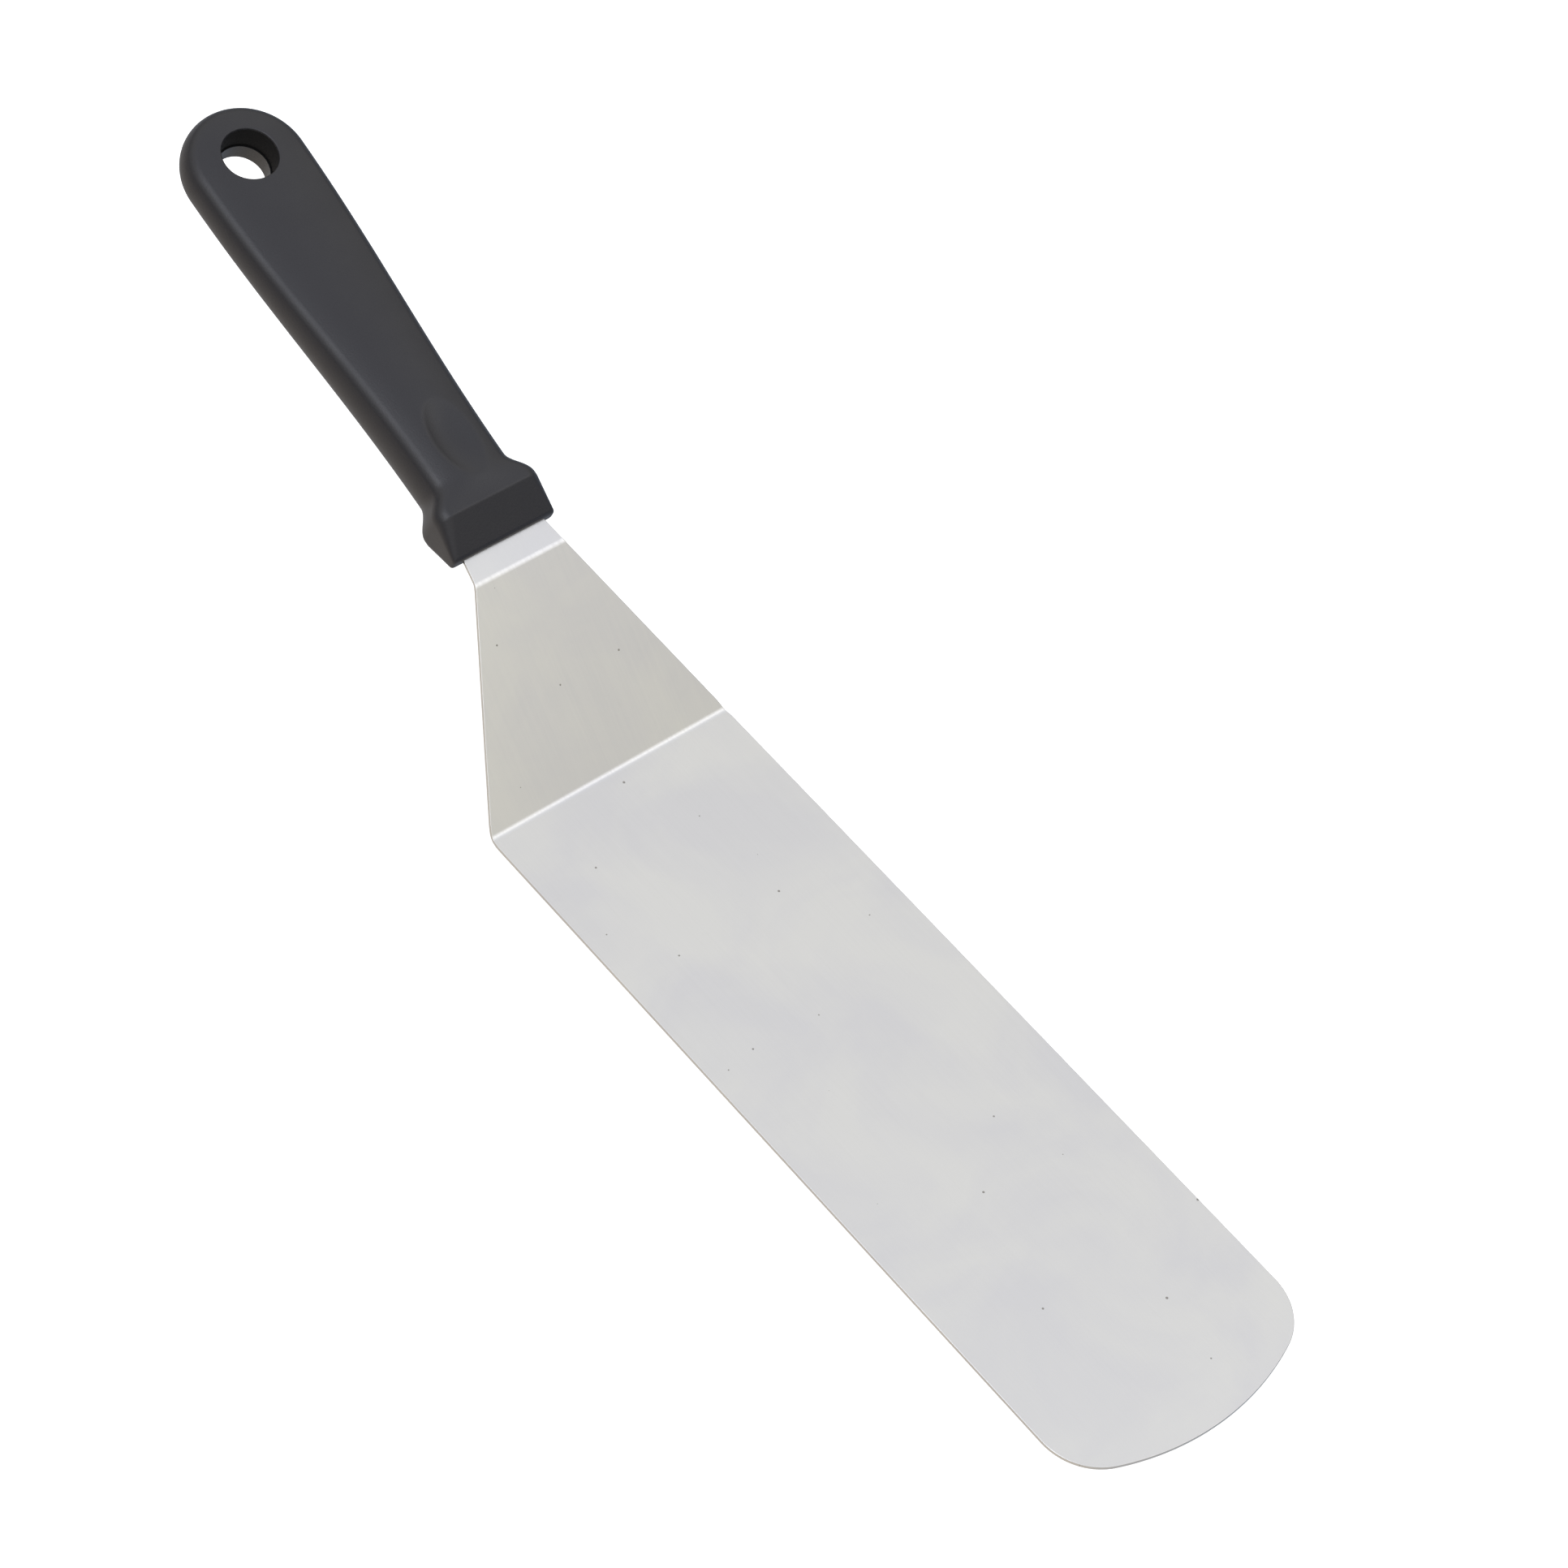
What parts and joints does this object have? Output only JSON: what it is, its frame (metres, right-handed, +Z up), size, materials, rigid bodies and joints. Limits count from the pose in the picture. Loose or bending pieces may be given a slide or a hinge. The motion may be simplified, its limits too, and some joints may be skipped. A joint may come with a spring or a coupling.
{
  "type": "offset spatula",
  "caption": "Long offset spatula with a wide round-cornered steel blade, a bent riser and a moulded plastic handle with a hanging hole.",
  "frame": {"origin": "on the flat underside of the blade, below the middle of the blade's length and width", "axes": "+X towards the blade's tip, +Y to the left when facing the tip, +Z up from the surface that the blade rests on"},
  "size_m": [0.4073, 0.076, 0.0853],
  "materials": {
    "blade_steel": "fine satin stainless steel",
    "core_plastic": "as moulded, hidden",
    "grip_plastic": "fine matt mould texture, black"
  },
  "bodies": {
    "root": {"blade": "blade_steel", "handle_core": "core_plastic", "handle_grip": "grip_plastic"}
  },
  "joints": []
}
